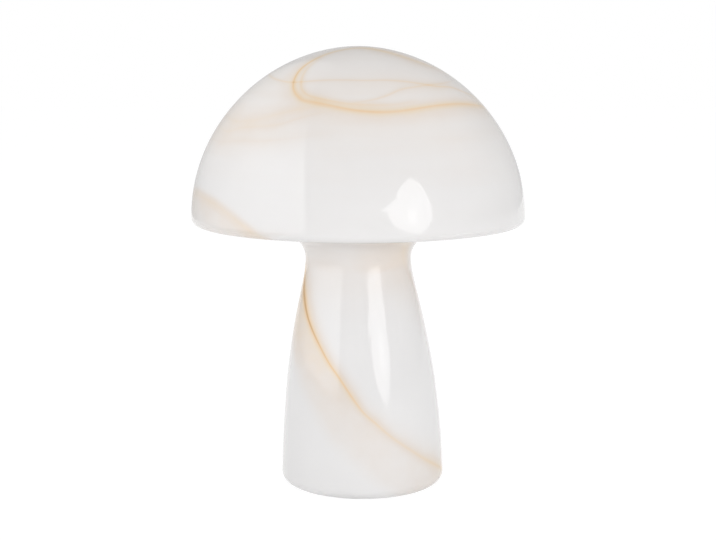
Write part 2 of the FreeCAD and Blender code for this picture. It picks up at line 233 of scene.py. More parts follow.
def evaluated(name, tree, values):
    # gives the tree its values by socket identifier and keeps its result as a plain mesh
    holder = plainMesh(name + ".base", [])
    modifier = holder.modifiers.new("nodes", "NODES")
    modifier.node_group = tree
    for item in tree.interface.items_tree:
        if item.in_out == "INPUT" and item.name in values:
            modifier[item.identifier] = values[item.name]
    bpy.context.view_layer.update()
    ready = holder.evaluated_get(bpy.context.evaluated_depsgraph_get())
    mesh = bpy.data.meshes.new_from_object(ready)
    holder.modifiers.clear()
    bpy.data.objects.remove(holder)
    mesh.name = name
    piece = bpy.data.objects.new(name, mesh)
    scene.collection.objects.link(piece)
    return piece


def turnedPiece(name, profile, material, steps, cutter=None, **values):
    # profile in millimetres, as (distance from the axis, height)
    outline = plainMesh(name + ".profile", [(r * mm, 0, z * mm) for r, z in profile])
    values = dict(lean=0.0, leanLow=0.0, leanHigh=1.0, wave=0.0, waveSize=1.0, threadDepth=0.0,
                  threadPitch=1.0, threadLow=0.0, threadHigh=1.0) | values
    values |= {"profile": outline, "points": len(profile), "steps": steps, "material": material}
    if cutter:
        values["cutter"] = cutter
    piece = evaluated(name, turnTree, values)
    bpy.data.objects.remove(outline)
    faceOutwards(piece)
    piece.data.shade_smooth()
    return piece


def signedVolume(mesh):
    shape = bmesh.new()
    shape.from_mesh(mesh)
    volume = shape.calc_volume(signed=True)
    shape.free()
    return volume


def faceOutwards(piece):
    if signedVolume(piece.data) < 0:
        piece.data.flip_normals()


turnTree = turningTree()


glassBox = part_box("glass_body")
glass = {    # millimetres, where nothing else is said
    "capRadius": (glassBox[1].x - glassBox[0].x) / 2 / mm,
    "crownHeight": glassBox[1].z / mm,
    "shoulderDrop": 1.15,       # how far the dome stays inside a half ball at its shoulder
    "shoulderShape": 1.5,       # power by which that drop gathers at the shoulder
    "rimRounding": 4.3,
    "rimDrop": 1.2,             # upright band between the dome and the rounding
    "undersideSlope": 7.5,      # degrees
    "neckRadius": 35.1,
    "neckFlare": 16.4,
    "footRadius": 54.4,
    "footRounding": 6.2,
    "footLand": 2.0,
    "footLean": 1.6,            # degrees
    "footFullness": 93.0,
    "neckFullness": 19.5,
    "wall": 3.5,
    "notchRadius": 4.5,
    "notchLevel": 6.4,
    "lean": -2.85,              # how far the cap sits to the left of the foot
    "leanFrom": 10.0,           # heights between which it leans
    "leanTo": 165.0,
    "unevenness": 0.3,          # of the blown wall
    "unevennessEvery": 75.0,
    "steps": 288,
    "outerSpacing": 2.2,        # between the profile's points
    "innerSpacing": 5.0,
    "fineSpacing": 0.8,         # on the foot, the flare and the rim
    "notchSpacing": 0.6,
    "lipSpacing": 0.5,
}


def glassStretches(inset, spacing):
    # one face of the wall, from the foot to the crown
    slope = math.radians(glass["undersideSlope"])
    lean = math.radians(glass["footLean"])
    level = glass["crownHeight"] - glass["capRadius"]
    rimCentre = (glass["capRadius"] - glass["rimRounding"], level - glass["rimDrop"])
    flareX = glass["neckRadius"] + glass["neckFlare"]
    fall = (rimCentre[0] - flareX) * math.tan(slope)
    flareZ = rimCentre[1] - fall - (glass["rimRounding"] + glass["neckFlare"]) / math.cos(slope)
    footCentre = (glass["footRadius"] - glass["footRounding"], glass["footRounding"])
    fine = min(spacing, glass["fineSpacing"])
    foot = arcPoints(footCentre, glass["footRounding"] - inset, -90, glass["footLean"], fine)
    flare = arcPoints((flareX, flareZ), glass["neckFlare"] + inset, 180, 90 + glass["undersideSlope"],
                      fine * 2)
    rim = arcPoints(rimCentre, glass["rimRounding"] - inset, glass["undersideSlope"] - 90, 0, fine)
    dome = []
    for x, z in arcPoints((0, level), glass["capRadius"] - inset, 0, 90, spacing):
        rise = math.atan2(z - level, x)
        gathered = max(math.sin(2 * rise), 0) ** glass["shoulderShape"]
        share = 1 - glass["shoulderDrop"] / glass["capRadius"] * gathered
        dome.append((x * share, level + (z - level) * share))
    footPull = (foot[-1][0] - math.sin(lean) * glass["footFullness"],
                foot[-1][1] + math.cos(lean) * glass["footFullness"])
    neckPull = (flare[0][0], flare[0][1] - glass["neckFullness"])
    stem = bezierPoints(foot[-1], footPull, neckPull, flare[0], spacing)
    underside = linePoints([flare[-1], rim[0]], spacing)
    return [foot, stem, flare, underside, rim, dome]


def outerProfile():
    # from the crown down to the foot
    return joinedProfile(*glassStretches(0, glass["outerSpacing"]))[::-1]


def glassProfile():
    lipRadius = glass["wall"] / 2
    lipX = glass["footRadius"] - glass["footRounding"] - glass["footLand"]
    lip = arcPoints((lipX, lipRadius), lipRadius, -90, -270, glass["lipSpacing"])
    inner = joinedProfile(*glassStretches(glass["wall"], glass["innerSpacing"]))
    points = joinedProfile(outerProfile(), lip, inner)
    points[0] = (0.0, points[0][1])
    points[-1] = (0.0, points[-1][1])
    return points


def notchCutter():
    # rounded slot through the back of the foot
    radius, level = glass["notchRadius"], glass["notchLevel"]
    nearEnd = glass["footRadius"] - glass["footRounding"] - glass["footLand"] - glass["wall"]
    farEnd = glass["footRadius"] + glass["wall"]
    arch = arcPoints((0, level), radius, 0, 180, glass["notchSpacing"])
    side = [(radius, -glass["wall"])] + arch + [(-radius, -glass["wall"])]
    count = len(side)
    vertices = [(x * mm, y * mm, z * mm) for y in (nearEnd, farEnd) for x, z in side]
    faces = [tuple(range(count)), tuple(range(2 * count - 1, count - 1, -1))]
    faces += [(i, i + count, (i + 1) % count + count, (i + 1) % count) for i in range(count)]
    cutter = plainMesh("notchCutter", vertices, faces)
    faceOutwards(cutter)
    return cutter


# Amber streaks. A run's points are (azimuth, millimetres down the glass from the crown, strength, and
# a width factor where it isn't 1). Azimuth is in degrees from the front, to the right seen from there.
# A line and a glow are (amount, width); a veil is (amount, width right of the run, width left of it).
streaks = {
    "crownLoop": {"line": (0.08, 0.6), "glow": (0.27, 2.3), "veil": (0.11, 6.5, 8.0), "run": [
        (170, 127, 0), (140, 117, 0.6), (112, 103, 0.7), (88, 95, 0.8), (69, 92, 0.9), (41, 90, 0.95),
        (17, 94, 1, 1.1), (-1, 93, 1, 1.1), (-21, 87, 1), (-29, 83, 1.1, 0.9), (-37, 72, 1.2, 0.9),
        (-43, 55, 1.2, 0.9), (-41, 37, 1, 0.8), (-26, 22, 0.9, 0.9), (8, 16, 0.9, 1.2),
        (41, 28, 0.6, 1.4), (58, 45, 0.3, 1.6), (80, 59, 0, 1.6)]},
    "loopDouble": {"line": (0.1, 0.9), "glow": (0.1, 2.0), "veil": (0.04, 3.0, 3.0), "run": [
        (30, 86, 0), (14, 89, 0.6), (-4, 88, 0.8), (-21, 83, 1), (-29, 77, 1), (-34, 67, 1),
        (-37.5, 56, 0.8), (-38, 46, 0.4), (-35, 35, 0)]},
    "crossing": {"line": (0.13, 0.7), "glow": (0.06, 2.0), "veil": (0.03, 5.0, 7.0), "run": [
        (-150, 69, 0), (-110, 61, 0.7), (-74, 63, 1), (-51, 68, 1), (-33, 69, 0.9), (-2, 67, 0.8),
        (17, 67, 0.9), (43, 73, 1.1, 1.1), (58, 75, 1.1, 1.1), (72, 82, 1, 1.2), (92, 91, 0.7, 1.4),
        (120, 99, 0, 1.5)]},
    "crossingBranch": {"line": (0.11, 0.6), "glow": (0.05, 1.6), "veil": (0.03, 4.0, 3.0), "run": [
        (-6, 89, 0), (6, 85, 0.8), (14, 81, 1), (22, 76, 1), (35, 73, 1), (53, 71, 0.8), (75, 69, 0)]},
    "smokeUpper": {"line": (0.02, 0.9), "glow": (0.03, 2.6), "veil": (0.08, 5.0, 10.0), "run": [
        (-150, 95, 0), (-110, 101, 0.8), (-66, 103, 1), (-48, 102, 1), (-34, 96, 1), (-22, 91, 0.8),
        (-10, 90, 0)]},
    "smokeMiddle": {"line": (0.025, 0.7), "glow": (0.03, 2.2), "veil": (0.06, 5.0, 8.0), "run": [
        (-155, 103, 0), (-115, 109, 0.8), (-67, 111, 1), (-52, 108, 1), (-35, 105, 1), (-24, 99, 0.9),
        (-6, 92, 0)]},
    "smokeLower": {"line": (0.015, 0.8), "glow": (0.025, 2.6), "veil": (0.055, 6.0, 9.0), "run": [
        (-150, 127, 0), (-110, 122, 0.8), (-68, 119, 1), (-48, 117, 1), (-32, 115, 0.8), (-8, 111, 0)]},
    "crownSmear": {"line": (0.0, 1.0), "glow": (0.08, 4.0), "veil": (0.1, 9.0, 9.0), "run": [
        (-60, 12, 0), (20, 14, 0.6), (44, 26, 1), (54, 38, 1), (66, 50, 1), (84, 60, 0.5), (110, 72, 0)]},
    "rimStreak": {"line": (0.0, 0.9), "glow": (0.09, 3.4), "veil": (0.13, 16.0, 3.2), "run": [
        (-175, 96, 0), (-145, 122, 0.6), (-115, 142, 0.8), (-88, 154, 0.9), (-68, 155, 1), (-56, 158, 1),
        (-47, 163, 1), (-39, 170, 1), (-33, 176, 0.9), (-27, 184, 0.8), (-12, 202, 0.6), (8, 222, 0.6),
        (32, 238, 0.7, 1.1), (50, 247, 0.8, 1.3), (59, 256, 0.8, 1.4), (66, 267, 0.5, 1.2),
        (84, 286, 0.6), (108, 308, 0.7), (134, 334, 0.8), (160, 360, 0.8), (184, 386, 0.7),
        (200, 404, 0)]},
    "stemCord": {"line": (0.32, 0.5), "glow": (0.32, 1.8), "veil": (0.23, 22.0, 4.6), "run": [
        (-190, 226, 0), (-150, 240, 0.7, 1.6), (-112, 254, 0.9, 1.7), (-84, 266, 1, 1.7),
        (-75, 277, 1.4, 1.9), (-66.3, 285, 1.35, 1.8), (-54.7, 296, 1.25, 1.6), (-44.3, 305, 1.1, 1.4),
        (-34.4, 314, 0.95, 1.25), (-24.9, 324, 0.82, 1.2), (-15.2, 334, 0.7, 1.2), (0, 353.2, 0.52, 1.35),
        (10, 362.2, 0.42, 1.5), (22, 372.6, 0.36, 1.8), (36, 382.6, 0.34, 2.2), (51, 392, 0.38, 2.6),
        (71, 401, 0.5, 2.8), (92, 408, 0.6, 2.4), (118, 412, 0, 2)]},
    "backSwirl": {"line": (0.25, 0.5), "glow": (0.3, 2.0), "veil": (0.14, 9.0, 3.0), "run": [
        (100, 66, 0), (128, 78, 0.7), (155, 98, 1), (178, 122, 1), (200, 142, 0.9, 1.2),
        (222, 158, 0.8, 1.5), (246, 170, 0.6, 1.5), (262, 180, 0, 1.5)]},
}


streakDrawing = {    # millimetres, where nothing else is said
    "pointSpacing": 1.2,
    "reach": 34.0,          # nothing is marked further from the run
    "fadeShare": 0.3,       # share of the reach over which the mark fades
    "together": 8000,       # points of the mesh that are marked in one go
    "strandAcross": 2.2,
    "strandAlong": 70.0,
    "strandDepth": (0.75, 1.25),
}


def surfacePoint(profile, marks, azimuth, down):
    # a point on the glass, leaning as the glass does
    radius = float(np.interp(down, marks, profile[:, 0]))
    height = float(np.interp(down, marks, profile[:, 1]))
    share = min(max((height - glass["leanFrom"]) / (glass["leanTo"] - glass["leanFrom"]), 0), 1)
    shift = glass["lean"] * share * share * (3 - 2 * share)
    angle = math.radians(azimuth)
    return (radius * math.sin(angle) + shift, -radius * math.cos(angle), height)


def smoothRun(points, spacing):
    # Catmull-Rom curve through the points, each with its place, strength and width
    points = np.array(points, float)
    padded = np.vstack([2 * points[0] - points[1], points, 2 * points[-1] - points[-2]])
    samples = []
    for before, start, end, after in zip(padded, padded[1:], padded[2:], padded[3:]):
        count = max(2, math.ceil(np.linalg.norm((end - start)[:3]) / spacing))
        for i in range(count):
            t = i / count
            bend = (2 * before - 5 * start + 4 * end - after) * t * t
            turn = (3 * start - before - 3 * end + after) * t ** 3
            samples.append(0.5 * (2 * start + (end - before) * t + bend + turn))
    return np.array(samples + [points[-1]])


def markStreak(mesh, name, streak):
    # each point of the mesh gets its distance across the run as a share of the width factor, its
    # distance along the run and the strength there
    reach = streakDrawing["reach"]
    profile = np.array(outerProfile())
    marks = np.concatenate([[0], np.cumsum(np.linalg.norm(np.diff(profile, axis=0), axis=1))])
    stops = [(*surfacePoint(profile, marks, azimuth, down), strength, *(width or [1]))
             for azimuth, down, strength, *width in streak["run"]]
    run = smoothRun(stops, streakDrawing["pointSpacing"])
    line, strength, width = run[:, :3], np.clip(run[:, 3], 0, None), run[:, 4]
    tangent = np.gradient(line, axis=0)
    step = np.linalg.norm(tangent, axis=1, keepdims=True)
    tangent /= step
    travelled = np.cumsum(step[:, 0])

    count = len(mesh.vertices)
    places, normals = np.empty(count * 3), np.empty(count * 3)
    mesh.vertices.foreach_get("co", places)
    mesh.vertex_normals.foreach_get("vector", normals)
    places, normals = places.reshape(-1, 3) / mm, normals.reshape(-1, 3)
    near = np.all((places > line.min(0) - reach) & (places < line.max(0) + reach), axis=1)
    values = np.zeros((count, 3))
    chosen = np.flatnonzero(near)
    for part in np.array_split(chosen, max(1, len(chosen) // streakDrawing["together"])):
        gap = places[part, None, :] - line[None, :, :]
        nearest = np.argmin(np.einsum("ijk,ijk->ij", gap, gap), axis=1)
        offset = places[part] - line[nearest]
        sideways = np.cross(tangent[nearest], normals[part])
        across = np.einsum("ij,ij->i", offset, sideways)
        away = np.linalg.norm(offset, axis=1)
        fade = np.clip((reach - away) / (reach * streakDrawing["fadeShare"]), 0, 1)
        values[part] = np.stack(
            [across / width[nearest], travelled[nearest], strength[nearest] * fade], axis=1)
    layer = mesh.attributes.new(name, "FLOAT_VECTOR", "POINT")
    layer.data.foreach_set("vector", values.astype(np.float32).ravel())


def streakGroup():
    # turns one run's attribute into an amount of amber
    tree, given = startGroup("amberStreak", "ShaderNodeTree", {
        "Vector": "attribute line glow veil", "Float": "sway patches"}, "Float")
    parts = addNode(tree, "SeparateXYZ", [given["attribute"]])
    across = addNode(tree, "Math", [parts.outputs["X"], given["sway"]], operation="ADD")

    # fine strands that run along the streak
    stretched = addNode(tree, "Mapping", {
        "Vector": given["attribute"],
        "Scale": (1 / streakDrawing["strandAcross"], 1 / streakDrawing["strandAlong"], 0)})
    strandNoise = addNode(tree, "TexNoise", {"Vector": stretched, "Scale": 1.0, "Detail": 1.0})
    faint, strong = streakDrawing["strandDepth"]
    strands = addNode(tree, "MapRange", [strandNoise, noiseLow, noiseHigh, faint, strong])

    # line, glow and veil fall off as bell curves, with a width of their own on each side
    right = addNode(tree, "Math", [across, 0.0], operation="GREATER_THAN")
    total = 0.0
    for name, texture in (("line", 1.0), ("glow", strands), ("veil", given["patches"])):
        size = addNode(tree, "SeparateXYZ", [given[name]])
        width = addNode(tree, "Mix", {0: right, 2: size.outputs["Z"], 3: size.outputs["Y"]},
                        data_type="FLOAT")
        share = addNode(tree, "Math", [across, width], operation="DIVIDE")
        square = addNode(tree, "Math", [share, share], operation="MULTIPLY")
        fall = addNode(tree, "Math", [square, -1.0], operation="MULTIPLY")
        layer = addNode(tree, "Math", [fall], operation="EXPONENT")
        for factor in (size.outputs["X"], texture, parts.outputs["Z"]):
            layer = addNode(tree, "Math", [layer, factor], operation="MULTIPLY")
        total = addNode(tree, "Math", [total, layer], operation="ADD")
    addNode(tree, "NodeGroupOutput", [total])
    return tree


opal = {
    # by amount of amber: the bare milk, peach, sand, amber and brown
    "shades": [(0.0, "#E8E7E7"), (0.15, "#E4DBD3"), (0.35, "#E5D5C1"), (0.6, "#E6C9A2"), (1.0, "#CCA473")],
    "roughness": 0.05,
    "ior": 1.5,
    "smoke": 0.095,             # how deep the haze in the upper cap and the neck gets
    # amount of haze by height in millimetres
    "smokeByHeight": [
        (0, 0), (112, 0), (132, 0.2), (148, 0.7), (168, 0.8), (174, 0.12), (205, 0.15), (225, 0.4),
        (236, 0.6), (250, 0.75), (278, 0.75), (290, 0.5)],
    # unevenness by name: size in millimetres along each axis, detail, spread of the noise that is
    # used and the least and most that it becomes
    "uneven": {
        "sway": ((62.5, 62.5, 62.5), 1.0, (0.0, 1.0), (-0.8, 0.8)),     # of the runs, in millimetres
        "patches": ((16.667, 16.667, 16.667), 3.0, (noiseLow, noiseHigh), (0.75, 1.25)),
        "levelLines": ((111.11, 111.11, 8.3333), 3.0, (noiseLow, noiseHigh), (0.75, 1.25)),
        "cloud": ((62.5, 62.5, 62.5), 2.0, (noiseLow, noiseHigh), (0.7, 1.3)),
        "milk": ((45.455, 45.455, 45.455), 2.0, (noiseLow, noiseHigh), (0.985, 1.01))},
    # painted light: the stem's colour is made this much whiter than the cap's, to lift the shade that the
    # cap casts on it, changing between these heights
    "stemPaintedLight": 1.03,
    "paintedLightFrom": 120.0,
    "paintedLightTo": 175.0,
    # ripples in the skin, which bend the reflections slightly
    "rippleSize": 29.412,
    "rippleDepth": 0.5,
    "rippleStrength": 0.35,
}


def blownOpalGlass():
    # Blown opal glass with amber threads drawn through it: milky white under a glossy, slightly wavy
    # fire-polished skin. The threads have a dark core and a soft band where the amber spread.
    material, tree, shader = startMaterial("blownOpalGlass")
    place = addNode(tree, "TexCoord").outputs["Object"]
    uneven = {}
    for name, (size, detail, spread, change) in opal["uneven"].items():
        drawn = addNode(tree, "Mapping", {
            "Vector": place, "Scale": [1 / (axis * mm) for axis in size]})
        noise = addNode(tree, "TexNoise", {"Vector": drawn, "Scale": 1.0, "Detail": detail})
        uneven[name] = addNode(tree, "MapRange", [noise, *spread, *change])

    # haze, denser high on the cap and round the neck, drawn out in thin level lines
    height = addNode(tree, "SeparateXYZ", [place]).outputs["Z"]
    top = glass["crownHeight"]
    share = addNode(tree, "Math", [height, top * mm], operation="DIVIDE")
    total = addNode(tree, "ValToRGB", [share], [(z / top, a) for z, a in opal["smokeByHeight"]])
    for factor in (uneven["levelLines"], uneven["cloud"], opal["smoke"]):
        total = addNode(tree, "Math", [total, factor], operation="MULTIPLY")

    # the streaks' amber comes on top of it
    group = streakGroup()
    for name, streak in streaks.items():
        layer = addNode(tree, "Attribute", attribute_type="GEOMETRY", attribute_name=name)
        amount = addNode(tree, "Group", {
            "attribute": layer.outputs["Vector"], "sway": uneven["sway"], "patches": uneven["patches"],
            "line": (*streak["line"], streak["line"][1]), "glow": (*streak["glow"], streak["glow"][1]),
            "veil": streak["veil"]}, node_tree=group)
        total = addNode(tree, "Math", [total, amount], operation="ADD")
    amber = addNode(tree, "ValToRGB", [total], [
        (amount, linearColour(code)) for amount, code in opal["shades"]])

    # the milk itself is a little uneven; the stem is also painted whiter, as painted light that lifts the
    # shade the cap casts on it
    paintedStemLight = addNode(tree, "MapRange", [
        height, opal["paintedLightFrom"] * mm, opal["paintedLightTo"] * mm, opal["stemPaintedLight"], 1.0],
        interpolation_type="SMOOTHSTEP")
    milkToneAndPaintedLight = addNode(tree, "Math", [uneven["milk"], paintedStemLight], operation="MULTIPLY")
    colour = addNode(tree, "VectorMath", {0: amber, "Scale": milkToneAndPaintedLight}, operation="SCALE")

    ripple = addNode(tree, "TexNoise", {
        "Vector": place, "Scale": 1 / (opal["rippleSize"] * mm), "Detail": 1.0})
    skin = addNode(tree, "Bump", {
        "Strength": opal["rippleStrength"], "Distance": opal["rippleDepth"] * mm, "Height": ripple})
    feed(tree, shader, {
        "Base Color": colour, "Normal": skin, "Roughness": opal["roughness"], "IOR": opal["ior"]})
    return material


def makeGlass():
    material = blownOpalGlass()
    cutter = notchCutter()
    piece = turnedPiece(
        "glassShade", glassProfile(), material, glass["steps"], cutter, lean=glass["lean"] * mm,
        leanLow=glass["leanFrom"] * mm, leanHigh=glass["leanTo"] * mm, wave=glass["unevenness"] * mm,
        waveSize=1 / (glass["unevennessEvery"] * mm))
    bpy.data.objects.remove(cutter)
    for name, streak in streaks.items():
        markStreak(piece.data, name, streak)
    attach(piece, "glass")
    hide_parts("glass_body")
    print("glass:", len(piece.data.polygons), "faces,", round(signedVolume(piece.data) * 1e6), "cm3")
    return piece


makeGlass()


bumpStrength = 0.6

# Texture is the grain's size, the bump's depth and the size of the slow patches, in millimetres.
finishes = {
    # Closed-cell EVA foam, skived from a block: matt black, with the cut cells showing as fine pits.
    "evaFoam": {"nodes": "base_pad", "shades": ("#121213", "#29292B"), "texture": (1.1, 0.22, 14),
        "roughness": (0.86, 0.98), "cells": True, "shader": {"Specular IOR Level": 0.25}},
    # Steel with a white powder coat, sprayed and baked: satin, with a faint orange peel.
    "powderCoatedSteel": {"nodes": "base_cover sleeve_tube", "shades": ("#DFDEDB", "#E9E8E6"),
        "texture": (1.6, 0.03, 30), "roughness": (0.34, 0.44),
        "shader": {"IOR": 1.5, "Coat Weight": 0.15}},
    # Grey iron cast in sand, then oiled: dark, grainy and dull.
    "castIron": {"nodes": "base_weight", "shades": ("#2B2B2D", "#48474A"), "texture": (0.9, 0.18, 9),
        "roughness": (0.55, 0.78), "shader": {"Metallic": 0.75}},
    # Silicone rubber, pressed in a mould: milky and half clear, with a satin skin that holds dust.
    "siliconeRubber": {"nodes": "centring_ring", "shades": ("#DADAD4", "#E8E8E4"),
        "texture": (2.5, 0.03, 12), "roughness": (0.32, 0.5),
        "shader": {"IOR": 1.41, "Transmission Weight": 0.35}},
    # Soft PVC, injection moulded: white, waxy, slightly wavy where it shrank.
    "softPvc": {"nodes": "cord_grommet", "shades": ("#DBDAD6", "#E6E5E2"), "texture": (1.8, 0.03, 6),
        "roughness": (0.4, 0.55), "shader": {"IOR": 1.53}},
    # Turned steel, zinc plated and blue passivated: bright, cool grey with fine turning lines.
    "zincPlatedSteel": {
        "nodes": "threaded_tube tube_nut lock_washer stop_screw terminal_screws filament_wires",
        "shades": ("#A9AFB4", "#C3C6C8"), "texture": (0.5, 0.012, 4), "roughness": (0.24, 0.4),
        "stretch": (0.1, 0.1, 1), "shader": {"Metallic": 1.0}},
    # PBT, injection moulded in a spark-eroded tool: white with a fine matt grain.
    "mouldedPbt": {"nodes": "holder_cap holder_shell", "shades": ("#DEDDD9", "#E9E8E5"),
        "texture": (0.7, 0.02, 10), "roughness": (0.38, 0.5), "shader": {"IOR": 1.55}},
    # Steatite, pressed dry and fired without glaze: off-white, chalky, with tiny dark specks.
    "steatiteCeramic": {"nodes": "holder_insert", "shades": ("#BDB6A6", "#DDD8CB", "#E3DFD4"),
        "texture": (0.6, 0.03, 5), "roughness": (0.6, 0.75), "shader": {"IOR": 1.6}},
    # Brass strip, cold rolled and stamped: yellow, with rolling lines along it.
    "rolledBrass": {"nodes": "centre_contact side_contact", "shades": ("#C59A4C", "#D9B565"),
        "texture": (0.35, 0.006, 3), "roughness": (0.2, 0.34), "stretch": (1, 1, 0.08),
        "shader": {"Metallic": 1.0}},
    # Tin solder, left to set as a drop: grey, softly wrinkled, duller where it oxidised.
    "tinSolder": {"nodes": "bulb_contact", "shades": ("#9A9C9E", "#BCBDBD"), "texture": (1.2, 0.05, 2),
        "roughness": (0.3, 0.5), "shader": {"Metallic": 1.0}},
    # Black glass, poured and pressed hot into the cap: glossy, with shallow cooling waves.
    "blackPressedGlass": {"nodes": "bulb_insulator", "shades": ("#0B0B0E", "#17161B"),
        "texture": (2.4, 0.04, 3), "roughness": (0.04, 0.12), "shader": {"IOR": 1.52}},
    # Brass drawn and rolled thin, nickel plated: warm silver with faint lines round it.
    "nickelPlatedBrass": {"nodes": "bulb_cap", "shades": ("#AFA89C", "#C9C4BA"),
        "texture": (0.6, 0.01, 5), "roughness": (0.16, 0.3), "stretch": (0.12, 0.12, 1),
        "shader": {"Metallic": 1.0}},
    # Blown glass with an opal powder coat inside: soft white, evenly lit through, with a silky skin.
    "satinOpalBulb": {"nodes": "bulb_envelope", "shades": ("#E2E2E0", "#EAEAE9"),
        "texture": (6, 0.04, 20), "roughness": (0.2, 0.3),
        "shader": {"IOR": 1.5, "Coat Weight": 0.3, "Coat Roughness": 0.12}},
    # Soda-lime glass, drawn and pressed: clear, with a few waves from the flame.
    "clearBulbGlass": {"nodes": "led_stem", "shades": ("#E3EAE9", "#F0F4F3"), "texture": (3, 0.03, 9),
        "roughness": (0.01, 0.05), "shader": {"IOR": 1.5, "Transmission Weight": 0.9}},
    # Silicone filled with yellow phosphor, drawn round the filament's strip: matt egg yellow.
    "phosphorSilicone": {"nodes": "led_filaments", "shades": ("#D9A32E", "#EDC355"),
        "texture": (0.7, 0.04, 3), "roughness": (0.45, 0.6), "shader": {"IOR": 1.45}},
    # Glass-fibre board under a green solder mask: glossy green, with the weave just showing.
    "solderMaskBoard": {"nodes": "bulb_driver", "shades": ("#1F4A2A", "#2F6639"),
        "texture": (0.8, 0.02, 3), "roughness": (0.22, 0.38),
        "shader": {"IOR": 1.55, "Coat Weight": 0.4}},
}


def makeFinish(name):
    # grain, slow patches, roughness and bump, all from the sizes in the finish
    finish = finishes[name]
    material, tree, shader = startMaterial(name)
    place = addNode(tree, "TexCoord").outputs["Object"]
    grainSize, bumpDepth, patchSize = (size * mm for size in finish["texture"])
    drawn = addNode(tree, "Mapping", {
        "Vector": place, "Scale": [share / grainSize for share in finish.get("stretch", (1, 1, 1))]})
    if finish.get("cells"):
        grain = addNode(tree, "TexVoronoi", {"Vector": drawn, "Scale": 1.0})
    else:
        noise = addNode(tree, "TexNoise", {"Vector": drawn, "Scale": 1.0, "Detail": 3.0})
        grain = addNode(tree, "MapRange", [noise, noiseLow, noiseHigh])
    slow = addNode(tree, "TexNoise", {"Vector": place, "Scale": 1 / patchSize, "Detail": 2.0})
    patch = addNode(tree, "MapRange", [slow, noiseLow, noiseHigh])
    both = addNode(tree, "Mix", {0: 0.5, 2: grain, 3: patch}, data_type="FLOAT")
    shades = [linearColour(code) for code in finish["shades"]]
    first, span = 0.15, 0.7     # the shades' places on the ramp
    colour = addNode(tree, "ValToRGB", [both], [
        (first + span * i / (len(shades) - 1), shade) for i, shade in enumerate(shades)])
    gloss = addNode(tree, "MapRange", [both, 0.0, 1.0, *finish["roughness"]])
    bump = addNode(tree, "Bump", {"Strength": bumpStrength, "Distance": bumpDepth, "Height": grain})
    feed(tree, shader, {"Base Color": colour, "Roughness": gloss, "Normal": bump} | finish["shader"])
    return material


materials = {name: makeFinish(name) for name in finishes}
for name, finish in finishes.items():
    for node in finish["nodes"].split():
        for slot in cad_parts[node].material_slots:
            slot.material = materials[name]
print("finishes:", len(finishes))


bulb = {    # millimetres
    "ballRadius": 22.5,
    "neckRadius": 8.0,
    "neckFlare": 12.0,
    "flareLevel": 157.45,
    "wall": 0.8,
    "neckLow": 151.45,
    "threadRadius": 6.95,
    "threadPitch": 2.822,           # E14
    "threadDepth": 0.75,
    "threadLow": 134.05,
    "threadTop": 149.05,
    "threadStart": 0.4,             # plain edge below the thread
    "collarRadius": 8.45,
    "collarLow": 151.05,
    "collarTop": 154.05,
    "collarBead": 0.25,
    "sheet": 0.4,
    "spacing": 0.7,                 # between the profile's points, three times closer on the cap
    "beadSpacing": 0.1,
    "steps": 96,
}


def bulbFace(inset):
    # the neck sweeps into the ball along an arc that touches both
    flareX = bulb["neckRadius"] + bulb["neckFlare"]
    rise = math.sqrt((bulb["ballRadius"] + bulb["neckFlare"]) ** 2 - flareX ** 2)
    meeting = math.degrees(math.atan2(rise, flareX))
    neckX = bulb["neckRadius"] - inset
    neck = linePoints([(neckX, bulb["neckLow"]), (neckX, bulb["flareLevel"])], bulb["spacing"])
    flare = arcPoints((flareX, bulb["flareLevel"]), bulb["neckFlare"] + inset, 180, 180 - meeting,
                      bulb["spacing"])
    ball = arcPoints((0, bulb["flareLevel"] + rise), bulb["ballRadius"] - inset, -meeting, 90,
                     bulb["spacing"])
    return joinedProfile(neck, flare, ball)


def makeBulb():
    outer, inner = bulbFace(0), bulbFace(bulb["wall"])
    outer[-1] = (0.0, outer[-1][1])
    inner[-1] = (0.0, inner[-1][1])
    envelope = turnedPiece("bulbGlass", outer[::-1] + inner, materials["satinOpalBulb"], bulb["steps"])
    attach(envelope, "bulb")
    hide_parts("bulb_envelope")

    # screw cap: rolled thread, a cone up to the collar and a bead round its edge
    radius, wide, sheet, bead = (
        bulb[key] for key in ("threadRadius", "collarRadius", "sheet", "collarBead"))
    low, top, collarLow, collarTop = (
        bulb[key] for key in ("threadLow", "threadTop", "collarLow", "collarTop"))
    fine, beadFine = bulb["spacing"] / 3, bulb["beadSpacing"]
    profile = joinedProfile(
        linePoints([(radius - sheet, low), (radius - bead, low)], fine),
        arcPoints((radius - bead, low + bead), bead, -90, 0, beadFine),
        linePoints([(radius, low + bead), (radius, top), (wide, collarLow), (wide, collarTop - bead)], fine),
        arcPoints((wide - bead, collarTop - bead), bead, 0, 90, beadFine),
        linePoints([(wide - sheet, collarTop), (wide - sheet, collarLow), (radius - sheet, top),
                    (radius - sheet, low)], fine))
    cap = turnedPiece(
        "bulbScrewCap", profile, materials["nickelPlatedBrass"], bulb["steps"],
        threadDepth=bulb["threadDepth"] * mm, threadPitch=bulb["threadPitch"] * mm,
        threadLow=(low + bulb["threadStart"]) * mm, threadHigh=top * mm)
    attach(cap, "bulb")
    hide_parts("bulb_cap")
    print("bulb:", len(envelope.data.polygons), "and", len(cap.data.polygons), "faces")


makeBulb()


grip = {    # millimetres
    "radius": 13.0,
    "count": 40,
    "ribWidth": 1.1,
    "proud": 0.3,
    "pointsAlong": 15,
    "pointsRound": 12,
    "tipShare": 0.14,       # share of the length that tapers at each end
    "tipSize": 0.35,
    "rows": {"gripRibsCap": (113.0, 125.2), "gripRibsShell": (126.8, 134.2)},
}


